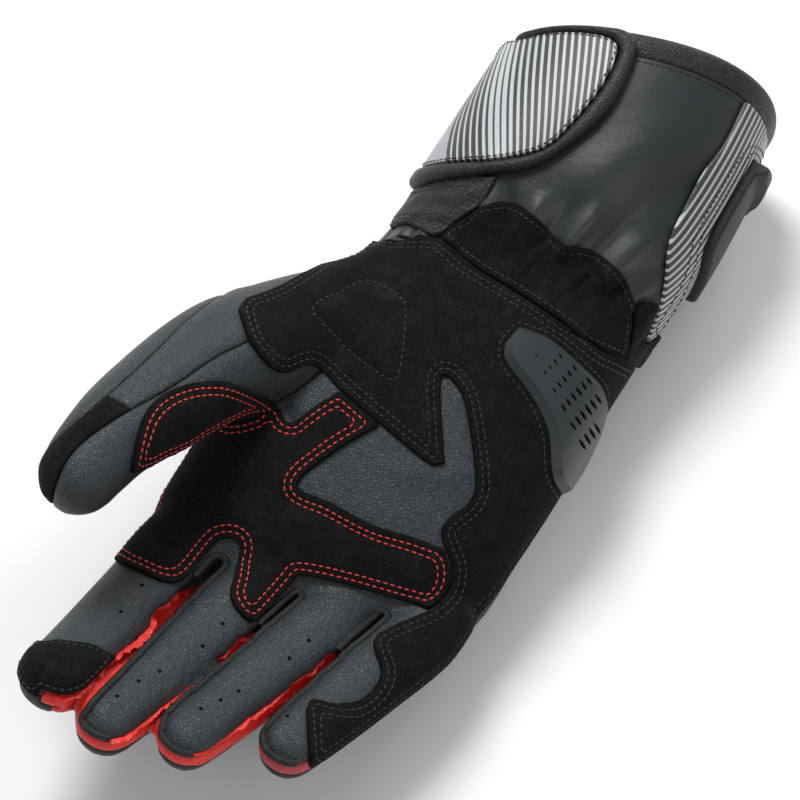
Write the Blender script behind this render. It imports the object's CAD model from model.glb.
# %% [markdown]
# # A leather gauntlet glove
# This notebook dresses the CAD model of a right-hand motorcycle glove that lies on its back. The CAD gives
# the places and sizes. Here every leather, suede and plastic piece is made again with its seams, folds,
# stitches and grain, in the same frame.

# %% Load the frame
import math
import bpy
import numpy as np
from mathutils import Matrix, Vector, kdtree
from mathutils.bvhtree import BVHTree


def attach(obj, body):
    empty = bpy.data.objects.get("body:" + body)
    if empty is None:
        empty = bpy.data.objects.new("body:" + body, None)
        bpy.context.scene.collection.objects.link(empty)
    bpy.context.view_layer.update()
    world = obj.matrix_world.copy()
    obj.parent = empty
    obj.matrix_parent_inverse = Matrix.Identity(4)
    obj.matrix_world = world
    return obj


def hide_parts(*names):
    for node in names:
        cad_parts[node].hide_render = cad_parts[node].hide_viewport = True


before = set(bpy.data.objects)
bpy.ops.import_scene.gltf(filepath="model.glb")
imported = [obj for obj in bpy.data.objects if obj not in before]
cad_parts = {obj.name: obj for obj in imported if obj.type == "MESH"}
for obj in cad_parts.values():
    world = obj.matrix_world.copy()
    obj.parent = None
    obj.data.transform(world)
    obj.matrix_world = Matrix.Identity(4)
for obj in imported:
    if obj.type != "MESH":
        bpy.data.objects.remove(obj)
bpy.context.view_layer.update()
print("CAD nodes:", len(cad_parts))

# %% [markdown]
# ## Sizes
# A glove is cut flat from a few patterns and sewn into tubes. The hand, the cuff, each finger and the thumb
# are tubes with known widths, so a few named sizes and short tables of shares of them describe it all. All
# working sizes are millimetres. They become metres when a mesh is made.

# %% Sizes of the hand, the cuff and the walls
MM = 0.001
palm_width, palm_length, hand_height, palm_centre = 100.0, 132.0, 60.0, 3.0
cuff_width, cuff_length, cuff_height, cuff_centre = 86.0, 94.0, 80.0, 9.0
wrist_place = 58.0
rim_place = wrist_place + 0.87 * cuff_length
rim_slant, wrist_slant = 0.32, 0.17
rim_lift = 1.6
leather_wall, suede_thick, flap_thick, strap_thick, binding_thick = 1.6, 1.2, 1.8, 1.5, 1.0
slider_thick, guard_thick, guard_raise = 2.6, 4.0, 3.0
gap = 0.3
finger_width, finger_depth, finger_square = 24.0, 22.0, 2.3
finger_rise, finger_rise_length, finger_tip_length = 27.0, 86.0, 12.0
thumb_width, thumb_square, thumb_tip_length = 32.0, 2.2, 15.0
parting_height = 25.0
gusset_half = 5.0
rise_start = wrist_place - 0.86 * palm_length
# The palm is seen at an angle. Outlines are drawn on one level plane at this height, and each point of the
# skin is moved along the lean to that plane, to see which outlines it falls in.
drawing_height = 55.0
lean = np.array([0.222, -0.385])
seen_from = np.array([0.203, -0.352, 0.914])
# From the hand's own origin, in the middle of the palm, to the frame's
origin_shift = np.array([9.4403, -4.3598, 0.0])

# %% [markdown]
# ## Section tables
# A tailor's table gives widths at some places along a limb. These rows do the same, as shares of the sizes
# above, so a wider palm or a longer finger needs one number changed.

# %% Section tables, as shares of the sizes
# along, left, right, bottom, top, square, slant, lift
cuff_sections = [
    (1.10, -0.485, 0.490, -0.04, 0.99, 2.2, 0.32, 1),
    (0.80, -0.487, 0.510, -0.04, 0.99, 2.2, 0.31, 1),
    (0.55, -0.495, 0.535, -0.05, 0.97, 2.2, 0.28, 0),
    (0.18, -0.520, 0.535, -0.05, 0.85, 2.3, 0.22, 0),
]
hand_sections = [
    (0.00, -0.410, 0.500, -0.06, 1.00, 2.4, 0.17, 0),
    (0.20, -0.505, 0.490, -0.06, 1.00, 2.4, 0.17, 0),
    (0.42, -0.560, 0.500, -0.06, 0.95, 2.4, 0.17, 0),
    (0.64, -0.570, 0.495, -0.05, 0.84, 2.5, 0.19, 0),
    (0.84, -0.560, 0.480, 0.00, 0.67, 2.5, 0.23, 0),
    (0.915, -0.520, 0.450, 0.14, 0.56, 2.3, 0.26, 0),
]
# name, across, along, length, width, lean, rise, web
fingers = [
    ("index", -0.420, 0.930, 0.59, 1.08, 0.09, 1.25, 0.97),
    ("middle", -0.150, 0.960, 0.58, 0.98, 0.19, 1.00, 0.97),
    ("ring", 0.105, 0.930, 0.54, 0.96, 0.25, 1.00, 0.95),
    ("pinky", 0.370, 0.845, 0.51, 0.96, 0.26, 0.95, 0.88),
]
# at, width, depth
finger_profile = [(-0.18, 0.76, 0.90), (0.0, 1.0, 1.02), (0.35, 0.97, 1.0), (0.62, 0.90, 0.95)]
finger_tip = (0.83, 0.89)
# across, along, height, width, depth
thumb_sections = [
    (-0.315, 0.255, 0.570, 1.25, 1.30),
    (-0.465, 0.413, 0.750, 1.25, 1.20),
    (-0.583, 0.569, 0.950, 1.16, 1.08),
    (-0.656, 0.766, 1.117, 1.05, 0.98),
    (-0.690, 0.900, 1.233, 0.92, 0.88),
    (-0.698, 1.020, 1.300, 0.80, 0.78),
]

# %% [markdown]
# ## Lofting the form
# A form is a closed tube through sections. The sections of the tables are few, so they are joined by smooth
# curves first, as a pattern cutter joins marks with a flexible rule. The tubes of the hand, the fingers and
# the thumb then melt into one skin in a voxel remesh, which is how clay would be joined.

# %% Smooth tables and tubes
def smooth_table(keys, rows, at):
    """Rows between the given ones, on smooth curves."""
    keys, rows, at = np.asarray(keys, float), np.asarray(rows, float), np.asarray(at, float)
    slopes = np.gradient(rows, keys, axis=0)
    i = np.clip(np.searchsorted(keys, at, side="right") - 1, 0, len(keys) - 2)
    span = (keys[i + 1] - keys[i])[:, None]
    t = (at - keys[i])[:, None] / span
    return ((2 * t**3 - 3 * t**2 + 1) * rows[i] + (t**3 - 2 * t**2 + t) * span * slopes[i]
            + (3 * t**2 - 2 * t**3) * rows[i + 1] + (t**3 - t**2) * span * slopes[i + 1])


def tube(centres, across, up, half_width, half_depth, square, floor=None, sides=72):
    """Corners and faces of a closed tube of superellipses."""
    angle = np.linspace(0, 2 * math.pi, sides, endpoint=False)
    power = 2 / np.broadcast_to(square, len(centres))[:, None]
    x = np.sign(np.cos(angle)) * np.abs(np.cos(angle)) ** power * half_width[:, None]
    y = np.sign(np.sin(angle)) * np.abs(np.sin(angle)) ** power * half_depth[:, None]
    rings = centres[:, None] + across[:, None] * x[..., None] + up[:, None] * y[..., None]
    if floor is not None:
        rings[..., 2] = np.maximum(rings[..., 2], floor[:, None])
    count = len(centres)
    corners = np.vstack([rings.reshape(-1, 3), rings[0].mean(0), rings[-1].mean(0)])
    a = np.arange(count - 1)[:, None] * sides + np.arange(sides)
    b = np.arange(count - 1)[:, None] * sides + (np.arange(sides) + 1) % sides
    walls = np.stack([a, b, b + sides, a + sides], -1).reshape(-1, 4)
    low, high = np.arange(sides), (count - 1) * sides + np.arange(sides)
    next_low, next_high = np.roll(low, -1), np.roll(high, -1)
    first, last = np.full(sides, count * sides), np.full(sides, count * sides + 1)
    caps = np.vstack([np.stack([first, next_low, low], -1), np.stack([last, high, next_high], -1)])
    return corners, [tuple(f) for f in walls] + [tuple(f) for f in caps]


def frame_of(directions):
    """Across and up vectors of a tube that runs along the given directions."""
    directions = directions / np.linalg.norm(directions, axis=1)[:, None]
    across = -np.cross(directions, [0.0, 0.0, 1.0])
    across /= np.linalg.norm(across, axis=1)[:, None]
    up = np.cross(directions, across)
    return across, up / np.linalg.norm(up, axis=1)[:, None]


# %% [markdown]
# ## The tubes
# The hand and the cuff are one tube, and each finger and the thumb have their own, with rounded ends.

# %% The hand and cuff, the fingers and the thumb
def body_tube():
    rows = []
    for table, width, length, height, centre, sign in (
            (cuff_sections, cuff_width, cuff_length, cuff_height, cuff_centre, 1),
            (hand_sections, palm_width, palm_length, hand_height, palm_centre, -1)):
        for along, left, right, bottom, top, square, slant, lift in table:
            rows.append((-(wrist_place + sign * along * length), centre + left * width, centre + right * width,
                         bottom * height, top * height, square, slant, lift * rim_lift, centre))
    rows = np.array(rows)
    at = np.linspace(rows[0, 0], rows[-1, 0], 70)
    left, right, bottom, top, square, slant, floor, centre = smooth_table(rows[:, 0], rows[:, 1:], at).T
    middle = (left + right) / 2
    centres = np.stack([middle, -at + slant * (middle - centre), (bottom + top) / 2], -1)
    across = np.stack([np.ones_like(slant), slant, np.zeros_like(slant)], -1)
    up = np.tile([0.0, 0.0, 1.0], (len(at), 1))
    return tube(centres, across, up, (right - left) / 2, (top - bottom) / 2, square, np.maximum(floor, 0), 96)


def finger_height(finger, y):
    share = np.maximum(0, (rise_start - y) / finger_rise_length)
    return parting_height + finger[6] * finger_rise * (share + share * share) / 2


def finger_place(finger, at):
    _, across, along, length, _, finger_lean, _, _ = finger
    y = wrist_place - (along + length * np.asarray(at, float)) * palm_length
    x = palm_centre + across * palm_width - finger_lean * length * np.asarray(at, float) * palm_length
    return np.stack([x, y, finger_height(finger, y)], -1)


def rounded_end(reach, count=9):
    """Shares of a tube's reach and width where its end is rounded off."""
    step = np.sin(np.linspace(0, math.pi / 2, count + 1)[1:]) * 0.995
    return step * reach, (1 - step**2.3) ** (1 / 2.3)


def finger_tube(finger):
    tip_start = 1 - finger_tip_length / (finger[3] * palm_length)
    table = np.array(finger_profile + [(tip_start, *finger_tip)])
    at = np.linspace(-0.18, tip_start, 30)
    width, depth = smooth_table(table[:, 0], table[:, 1:], at).T
    centres = finger_place(finger, at)
    directions = finger_place(finger, at + 0.02) - finger_place(finger, at - 0.02)
    reach, scale = rounded_end(finger_tip_length)
    end_direction = directions[-1] / np.linalg.norm(directions[-1])
    centres = np.vstack([centres, centres[-1] + reach[:, None] * end_direction])
    directions = np.vstack([directions, np.tile(end_direction, (len(reach), 1))])
    width = np.append(width, width[-1] * scale) * finger_width * finger[4] / 2
    depth = np.append(depth, depth[-1] * scale) * finger_depth / 2
    return tube(centres, *frame_of(directions), width, depth, finger_square, None, 56)


def thumb_axis(count=60):
    table = np.array(thumb_sections)
    places = np.stack([palm_centre + table[:, 0] * palm_width, wrist_place - table[:, 1] * palm_length,
                       table[:, 2] * hand_height], -1)
    keys = np.append(0, np.cumsum(np.linalg.norm(np.diff(places, axis=0), axis=1)))
    rows = np.hstack([places, table[:, 3:] * thumb_width / 2])
    return smooth_table(keys, rows, np.linspace(0, keys[-1], count))


def thumb_tube():
    rows = thumb_axis()
    centres, width, depth = rows[:, :3], rows[:, 3], rows[:, 4]
    directions = np.gradient(centres, axis=0)
    reach, scale = rounded_end(thumb_tip_length)
    end_direction = directions[-1] / np.linalg.norm(directions[-1])
    centres = np.vstack([centres, centres[-1] + reach[:, None] * end_direction])
    directions = np.vstack([directions, np.tile(end_direction, (len(reach), 1))])
    return tube(centres, *frame_of(directions), np.append(width, width[-1] * scale),
                np.append(depth, depth[-1] * scale), thumb_square, None, 64)


tubes = {"body": body_tube(), "thumb": thumb_tube()}
for finger in fingers:
    tubes[finger[0]] = finger_tube(finger)
print("tubes:", list(tubes))

# %% [markdown]
# ## One skin
# Leather bridges the web between two fingers in one soft curve. A voxel remesh joins the tubes without
# creases, and a few rounds of smoothing draw the webs into curves.

# %% Melt the tubes into one skin
def skin_of(parts, voxel):
    corners, faces, start = [], [], 0
    for points, polygons in parts:
        corners.append(points)
        faces += [tuple(int(i) + start for i in polygon) for polygon in polygons]
        start += len(points)
    mesh = bpy.data.meshes.new("skin")
    mesh.from_pydata((np.vstack(corners) * MM).tolist(), [], faces)
    obj = bpy.data.objects.new("skin", mesh)
    bpy.context.collection.objects.link(obj)
    remesh = obj.modifiers.new("Remesh", "REMESH")
    remesh.mode = "VOXEL"
    remesh.voxel_size = voxel * MM
    result = bpy.data.meshes.new_from_object(obj.evaluated_get(bpy.context.evaluated_depsgraph_get()))
    bpy.data.objects.remove(obj)
    result.calc_loop_triangles()
    places = np.empty(len(result.vertices) * 3)
    result.vertices.foreach_get("co", places)
    triangles = np.empty(len(result.loop_triangles) * 3, int)
    result.loop_triangles.foreach_get("vertices", triangles)
    bpy.data.meshes.remove(result)
    return places.reshape(-1, 3) / MM, triangles.reshape(-1, 3)


def smoothed(places, triangles, rounds, share=0.5):
    """Each point drawn towards the mean of its neighbours."""
    pairs = np.vstack([triangles[:, [0, 1]], triangles[:, [1, 2]], triangles[:, [2, 0]]])
    count = np.bincount(pairs[:, 0], minlength=len(places))[:, None]
    for _ in range(rounds):
        total = np.stack([np.bincount(pairs[:, 0], places[pairs[:, 1], k], len(places)) for k in range(3)], -1)
        places = places + share * (total / count - places)
    return places


def normals_of(places, triangles):
    corner = places[triangles]
    face = np.cross(corner[:, 1] - corner[:, 0], corner[:, 2] - corner[:, 0])
    total = np.stack([np.bincount(triangles.ravel(), np.repeat(face[:, k], 3), len(places)) for k in range(3)], -1)
    return total / np.maximum(np.linalg.norm(total, axis=1), 1e-12)[:, None]


skin_places, skin_faces = skin_of(tubes.values(), 1.15)
skin_places = smoothed(skin_places, skin_faces, 14)
print("skin:", len(skin_places), "points,", len(skin_faces), "triangles")

# %% [markdown]
# ## Knowing where a point lies
# Panels are regions of the skin. Three numbers say where a point lies: how near it is to each tube, where it
# falls on the drawing plane, and how far it is above the parting line between the palm and the back.

# %% Measures on the skin
trees = {name: BVHTree.FromPolygons([Vector(p) for p in points], faces) for name, (points, faces) in tubes.items()}


def distance_to(name, places):
    tree = trees[name]
    return np.array([tree.find_nearest(Vector(p))[3] for p in places])


def on_plan(places):
    return places[:, :2] - lean * (places[:, 2:3] - drawing_height)


def parting(places):
    """Height of the parting line near a point, blended between the fingers' axes."""
    total = weight = 0
    for finger in fingers:
        root = finger_place(finger, 0)
        axis = root[0] + finger[5] * (places[:, 1] - root[1])
        w = 1 / ((places[:, 0] - axis) ** 2 + 9) ** 2
        total = total + w * finger_height(finger, places[:, 1])
        weight = weight + w
    return total / weight


def smooth_step(low, high, x):
    t = np.clip((x - low) / (high - low), 0, 1)
    return t * t * (3 - 2 * t)


# %% [markdown]
# ## Outlines
# A pattern piece is an outline on a flat sheet. Each is a smooth line through a few points with corners where
# the cutter turns, and a point's distance from that line tells whether it is on the piece.

# %% Outlines
def smooth_line(rows, closed=True, steps=8):
    """A smooth line through the points, broken at those marked 1."""
    points = np.array([row[:2] for row in rows], float)
    corner = [len(row) > 2 for row in rows]
    count, line = len(points), []
    for i in range(count if closed else count - 1):
        j = (i + 1) % count
        a, b = points[i], points[j]
        before = a if corner[i] or (not closed and i == 0) else points[i - 1]
        after = b if corner[j] or (not closed and j == count - 1) else points[(j + 1) % count]
        for t in np.arange(steps) / steps:
            line.append(0.5 * (2 * a + (b - before) * t + (2 * before - 5 * a + 4 * b - after) * t**2
                               + (3 * a - before - 3 * b + after) * t**3))
    if not closed:
        line.append(points[-1])
    return np.array(line)


def on_hand(line):
    return np.stack([palm_centre + line[:, 0] * palm_width, wrist_place - line[:, 1] * palm_length], -1)


def on_cuff(line):
    return np.stack([cuff_centre + line[:, 0] * cuff_width, wrist_place + line[:, 1] * cuff_length], -1)


def line_distance(points, line, closed=True):
    """Distance from each point to a line, and whether it is inside."""
    nearest, odd = np.full(len(points), 1e9), np.zeros(len(points), bool)
    ends = np.roll(line, -1, axis=0) if closed else line[1:]
    for a, b in zip(line if closed else line[:-1], ends):
        side = b - a
        length = side @ side
        if length < 1e-12:
            continue
        share = np.clip(((points - a) @ side) / length, 0, 1)
        nearest = np.minimum(nearest, np.linalg.norm(points - a - share[:, None] * side, axis=1))
        crosses = (a[1] > points[:, 1]) != (b[1] > points[:, 1])
        if crosses.any() and abs(side[1]) > 1e-12:
            x = a[0] + (points[:, 1] - a[1]) * side[0] / side[1]
            odd ^= crosses & (points[:, 0] < x)
    return nearest, odd


def outline_field(points, line):
    """Below 0 inside a closed outline, above 0 outside, in millimetres."""
    nearest, odd = line_distance(points, line)
    return np.where(odd, -nearest, nearest)


# Shares of the palm's width and length, or of the cuff's. A third number marks a corner.
heel_outline = [
    (-0.62, 0.4, 1), (-0.56, 0.34), (-0.5, 0.26), (-0.44, 0.19), (-0.39, 0.12, 1),
    (-0.2, 0.02, 1), (-0.07, 0.05), (0.09, 0.06), (0.22, 0.07), (0.43, 0.09, 1),
    (0.72, 0.06, 1), (1.4, 0.96, 1), (0.35, 1.36, 1), (0.24, 1.23, 1),
    (0.24, 1.2), (0.31, 1.18), (0.37, 1.14), (0.38, 1.07), (0.31, 1.01),
    (0.34, 0.95), (0.42, 0.85), (0.4, 0.76), (0.3, 0.68),
    (0.33, 0.58), (0.29, 0.51), (0.16, 0.38), (0.09, 0.34), (0.05, 0.35),
    (0.2, 0.53, 1), (0.17, 0.55, 1), (0.09, 0.54), (-0.2, 0.49), (-0.28, 0.47),
    (-0.34, 0.47), (-0.4, 0.52), (-0.48, 0.51), (-0.55, 0.48), (-0.62, 0.43, 1),
]
wrist_panel_outline = [
    (-0.2, 0.02, 1), (-0.15, -0.08), (-0.08, -0.14), (0.02, -0.14), (0.14, -0.11),
    (0.24, -0.13), (0.37, -0.11), (0.43, -0.07), (0.46, -0.03), (0.52, 0.1, 1), (0.43, 0.09, 1),
    (0.22, 0.07), (0.09, 0.06), (-0.07, 0.05),
]
wrist_gusset_outline = [
    (0.45, -0.05), (0.5, -0.09), (0.58, -0.1), (0.8, -0.05, 1), (0.85, 0.05, 1),
    (0.62, 0.1, 1), (0.52, 0.1, 1), (0.48, 0),
]
slider_outline = [
    (0.17, 0.14, 1), (0.16, 0.19, 1), (0.19, 0.23), (0.32, 0.28), (0.42, 0.34), (0.5, 0.43),
    (0.56, 0.46, 1), (0.56, 0.37), (0.54, 0.25), (0.5, 0.18), (0.39, 0.15), (0.27, 0.13),
]
index_tip_outline = [
    (-0.55, 1.51, 1), (-0.52, 1.51), (-0.5, 1.51), (-0.45, 1.5), (-0.41, 1.49), (-0.37, 1.46),
    (-0.36, 1.42), (-0.35, 1.39), (-0.34, 1.34, 1), (-0.36, 1.33), (-0.39, 1.33), (-0.43, 1.33),
    (-0.47, 1.34), (-0.5, 1.35), (-0.53, 1.36), (-0.56, 1.38), (-0.63, 1.4, 1), (-0.66, 1.48, 1),
    (-0.6, 1.53, 1),
]
grip_outline = [
    (-0.19, 0.47, 1), (-0.24, 0.54), (-0.29, 0.62), (-0.35, 0.6), (-0.43, 0.59), (-0.55, 0.61),
    (-0.65, 0.68), (-0.68, 0.77), (-0.62, 0.91, 1), (-0.54, 0.83), (-0.56, 0.94),
    (-0.58, 1.14, 1), (-0.45, 1.13, 1), (-0.32, 1.11), (-0.29, 1), (-0.27, 0.96),
    (-0.22, 0.95), (-0.18, 1.02), (-0.15, 1.08), (-0.07, 1.11), (-0.04, 1.09), (-0.01, 0.98),
    (0.03, 0.94), (0.35, 0.88), (0.46, 0.88, 1), (0.46, 0.8, 1),
    (0.35, 0.72, 1), (0.24, 0.73), (0.11, 0.75), (-0.04, 0.75), (-0.16, 0.75), (-0.12, 0.64),
    (-0.04, 0.52, 1),
]
thumb_back_seam = [
    (-0.4, 0.1), (-0.56, 0.23), (-0.68, 0.39), (-0.74, 0.51), (-0.77, 0.63), (-0.82, 0.79), (-0.86, 0.89),
    (-0.88, 0.97), (-0.87, 1.03), (-0.82, 1.14), (-0.75, 1.25),
]
thumb_palm_seam = [
    (-0.3, 0.2), (-0.54, 0.49), (-0.6, 0.57), (-0.66, 0.68), (-0.75, 0.81), (-0.8, 0.92),
    (-0.79, 1.02), (-0.75, 1.12), (-0.7, 1.25),
]
flap_outline = [
    (-0.53, -0.02, 1), (-0.46, 0.1), (-0.28, 0.24), (-0.14, 0.35),
    (-0.05, 0.53), (-0.02, 0.65), (-0.02, 0.76), (-0.04, 0.87), (-0.08, 0.93),
    (-0.16, 0.93), (-0.28, 0.89), (-0.42, 0.8, 1), (-0.95, 0.62, 1), (-0.95, -0.12, 1),
]
flap_field_outline = [
    (-0.58, 0, 1), (-0.52, 0.12), (-0.4, 0.22), (-0.26, 0.31), (-0.14, 0.42), (-0.1, 0.55), (-0.08, 0.7),
    (-0.09, 0.83), (-0.12, 0.88), (-0.19, 0.88), (-0.31, 0.83), (-0.42, 0.75, 1), (-0.98, 0.57, 1),
    (-0.98, -0.1, 1),
]
strap_outline = [
    (-0.7, -0.2, 1), (-0.53, -0.12, 1), (-0.43, -0.04), (-0.33, -0.04), (-0.29, -0.01),
    (-0.23, 0.16, 1), (-0.24, 0.26, 1), (-0.38, 0.19), (-0.5, 0.08), (-0.55, 0, 1),
    (-0.7, -0.05, 1),
]
side_panel_edge = [
    (0.39, 1.05, 1), (0.39, 0.96), (0.41, 0.77), (0.4, 0.62), (0.41, 0.47), (0.43, 0.34), (0.51, 0.18),
    (0.54, 0.08), (0.56, -0.02, 1),
]
guard_edge = [(0.54, 0.77, 1), (0.54, 0.63), (0.55, 0.42), (0.59, 0.31), (0.61, 0.19), (0.61, 0.07, 1)]
lines = {
    "heel": on_hand(smooth_line(heel_outline)),
    "wrist_panel": on_hand(smooth_line(wrist_panel_outline)),
    "wrist_gusset": on_hand(smooth_line(wrist_gusset_outline)),
    "slider": on_hand(smooth_line(slider_outline)),
    "index_tip": on_hand(smooth_line(index_tip_outline)),
    "grip": on_hand(smooth_line(grip_outline)),
    "flap": on_cuff(smooth_line(flap_outline)),
    "flap_field": on_cuff(smooth_line(flap_field_outline)),
    "strap": on_cuff(smooth_line(strap_outline)),
    "side": on_cuff(smooth_line(side_panel_edge + guard_edge[::-1] + [(1.04, 0.67, 1), (1.2, 1.05, 1)])),
    "guard": on_cuff(smooth_line(guard_edge + [(1.2, 0.07, 1), (1.2, 0.63, 1)])),
}
pad_outline = [
    (-0.422, 0.345), (-0.415, 0.312), (-0.367, 0.251), (-0.326, 0.214), (-0.266, 0.206), (-0.191, 0.214),
    (-0.166, 0.233), (-0.132, 0.282), (-0.080, 0.374), (-0.075, 0.399), (-0.116, 0.408), (-0.249, 0.391),
    (-0.377, 0.362),
]
lines["pad"] = on_hand(smooth_line(pad_outline))
far = 400.0
for name, seam in (("thumb_back", thumb_back_seam), ("thumb_palm", thumb_palm_seam)):
    seam_line = on_hand(smooth_line(seam, closed=False))
    lines[name] = np.vstack([seam_line, [[-far, -far], [-far, far]]])
print("outlines:", len(lines))

# %% [markdown]
# ## Cutting panels from the skin
# A panel has a clean edge when the triangles are cut where a number changes sign, not just kept or dropped
# whole. A Sheet keeps points, faces and named numbers together, and every cut blends the numbers too. The
# same cut gives the seam lines that the stitches follow.

# %% Sheets
class Sheet:
    """Triangles with a place, a normal and named numbers at each point."""

    def __init__(self, places, normals, faces, numbers=None):
        self.places, self.normals, self.faces = places, normals, faces
        self.numbers = dict(numbers or {})

    def cut(self, field, snap=0.07):
        """The same sheet with its triangles cut where the field is 0, and the field at its points."""
        field = np.where(np.abs(field) < snap, 0.0, field)
        sign = np.sign(field).astype(int)
        s = sign[self.faces]
        crossing = (s.max(1) > 0) & (s.min(1) < 0)
        whole, cut, s = self.faces[~crossing], self.faces[crossing], s[crossing]
        has_zero = (s == 0).any(1)
        lone = np.where(has_zero[:, None], s == 0, s == -s.sum(1)[:, None])
        order = (lone.argmax(1)[:, None] + np.arange(3)) % 3
        cut = np.take_along_axis(cut, order, 1)
        zero, other = cut[has_zero], cut[~has_zero]
        pairs = np.vstack([zero[:, 1:], other[:, [0, 1]], other[:, [0, 2]]])
        keys, back = np.unique(np.sort(pairs, axis=1), axis=0, return_inverse=True)
        back = back.reshape(-1) + len(self.places)
        fa, fb = field[keys[:, 0]], field[keys[:, 1]]
        t = fa / np.where(fa == fb, 1, fa - fb)
        m0, m1, m2 = back[:len(zero)], back[len(zero):len(zero) + len(other)], back[len(zero) + len(other):]
        faces = np.vstack([
            whole, np.stack([zero[:, 0], zero[:, 1], m0], -1), np.stack([zero[:, 0], m0, zero[:, 2]], -1),
            np.stack([other[:, 0], m1, m2], -1), np.stack([m1, other[:, 1], other[:, 2]], -1),
            np.stack([m1, other[:, 2], m2], -1)])
        blend = lambda a: np.concatenate([a, a[keys[:, 0]] + (a[keys[:, 1]] - a[keys[:, 0]])
                                          * (t if a.ndim == 1 else t[:, None])])
        normals = blend(self.normals)
        normals /= np.maximum(np.linalg.norm(normals, axis=1), 1e-9)[:, None]
        result = Sheet(blend(self.places), normals, faces, {k: blend(v) for k, v in self.numbers.items()})
        return result, np.concatenate([field, np.zeros(len(keys))])

    def keep(self, mask):
        """Only the faces of the mask."""
        faces = self.faces[mask]
        used, back = np.unique(faces, return_inverse=True)
        return Sheet(self.places[used], self.normals[used], back.reshape(faces.shape),
                     {k: v[used] for k, v in self.numbers.items()})

    def inside(self, field):
        """The part where the field is below 0."""
        sheet, value = self.cut(field)
        return sheet.keep(value[sheet.faces].sum(1) < 0)

    def finer(self):
        """Every triangle cut into four."""
        f = self.faces
        pairs = np.vstack([f[:, [0, 1]], f[:, [1, 2]], f[:, [2, 0]]])
        keys, back = np.unique(np.sort(pairs, axis=1), axis=0, return_inverse=True)
        a, b, c = back.reshape(3, -1) + len(self.places)
        faces = np.vstack([np.stack([f[:, 0], a, c], -1), np.stack([a, f[:, 1], b], -1),
                           np.stack([c, b, f[:, 2]], -1), np.stack([a, b, c], -1)])
        blend = lambda v: np.concatenate([v, (v[keys[:, 0]] + v[keys[:, 1]]) / 2])
        return Sheet(blend(self.places), blend(self.normals), faces, {k: blend(v) for k, v in self.numbers.items()})

    def border(self):
        """The edges that only one face has, along its direction."""
        f = self.faces
        edges = np.vstack([f[:, [0, 1]], f[:, [1, 2]], f[:, [2, 0]]])
        key = np.sort(edges, axis=1) @ [len(self.places), 1]
        _, first, count = np.unique(key, return_index=True, return_counts=True)
        return edges[first[count == 1]]

    def measure_edge(self, reach=14.0):
        """Adds the number edge: how far each point is from the border, up to a reach."""
        ends = self.places[self.border()]
        samples = np.vstack([ends[:, 0] + (ends[:, 1] - ends[:, 0]) * t for t in (0, 0.25, 0.5, 0.75)])
        tree = kdtree.KDTree(len(samples))
        for i, place in enumerate(samples):
            tree.insert(place, i)
        tree.balance()
        self.numbers["edge"] = np.array([min(tree.find(p)[2], reach) for p in self.places])
        return self

    def lines(self, field, shortest=8.0):
        """Chains of points where the field is 0, each with places, normals and numbers."""
        sheet, value = self.cut(field, 0.02)
        f = sheet.faces
        edges = np.vstack([f[:, [0, 1]], f[:, [1, 2]], f[:, [2, 0]]])
        edges = np.unique(np.sort(edges[(value[edges] == 0).all(1)], axis=1), axis=0)
        nearby = {}
        for a, b in edges.tolist():
            nearby.setdefault(a, []).append(b)
            nearby.setdefault(b, []).append(a)
        chains, left = [], {tuple(e) for e in edges.tolist()}
        starts = [p for p in nearby if len(nearby[p]) == 1] + list(nearby)
        for start in starts:
            chain = [start]
            while True:
                here = chain[-1]
                step = next((n for n in nearby[here] if (min(here, n), max(here, n)) in left), None)
                if step is None:
                    break
                left.discard((min(here, step), max(here, step)))
                chain.append(step)
            if len(chain) > 2:
                places = sheet.places[chain]
                if np.linalg.norm(np.diff(places, axis=0), axis=1).sum() > shortest:
                    chains.append((places, sheet.normals[chain], {k: v[chain] for k, v in sheet.numbers.items()}))
        return chains


# %% [markdown]
# ## Folds
# Soft leather remembers how it has been bent. The cuff has folds that run up from the wrist, the wrist is
# gathered, and the palm creases at the thumb and the knuckles. Each fold is a short line with a depth and a
# width, and the skin moves along its normal before any panel is cut, so all layers fold together.

# %% Fold the skin
# from x, y; to x, y on the drawing plane; depth (below 0 is a valley), half-width; lowest z it reaches
folds = [
    (6, 66, 4, 84, 1.3, 2.6, 30), (12, 68, 13, 88, -1.2, 3.0, 30), (19, 70, 22, 92, 1.5, 3.2, 30),
    (27, 69, 33, 94, -1.2, 3.4, 30), (33, 67, 42, 92, 1.2, 3.0, 30), (38, 64, 50, 84, -1.0, 2.8, 30),
    (0, 68, -8, 82, -1.2, 2.6, 30), (-7, 66, -16, 78, 1.0, 2.4, 30), (14, 92, 30, 128, 1.2, 9.0, 30),
    (30, 86, 46, 120, -1.0, 7.0, 30), (-38, 30, -26, 6, -1.0, 3.0, 34), (-30, 42, -40, 26, 0.9, 3.0, 34),
    (15.7, 72, 17.7, 58, -1.5, 1.2, 30), (32, 46, 45, 48, -1.0, 1.4, 30),
    (-34, -18, -10, -34, -0.9, 3.2, 24), (-24, -48, 30, -44, -0.8, 3.4, 24), (10, -22, 34, -10, 0.5, 4.0, 24),
]


fold_strength = 1.35


def fold_depth(places):
    plan, total = on_plan(places), np.zeros(len(places))
    for x0, y0, x1, y1, depth, width, low in folds:
        start, side = np.array([x0, y0], float), np.array([x1 - x0, y1 - y0], float)
        share = ((plan - start) @ side) / (side @ side)
        away = np.linalg.norm(plan - start - np.clip(share, 0, 1)[:, None] * side, axis=1)
        taper = smooth_step(-0.25, 0.25, share) * (1 - smooth_step(0.55, 1.2, share))
        total += depth * taper * np.exp(-(away / width) ** 2) * smooth_step(low - 4, low + 6, places[:, 2])
    return fold_strength * total


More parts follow.
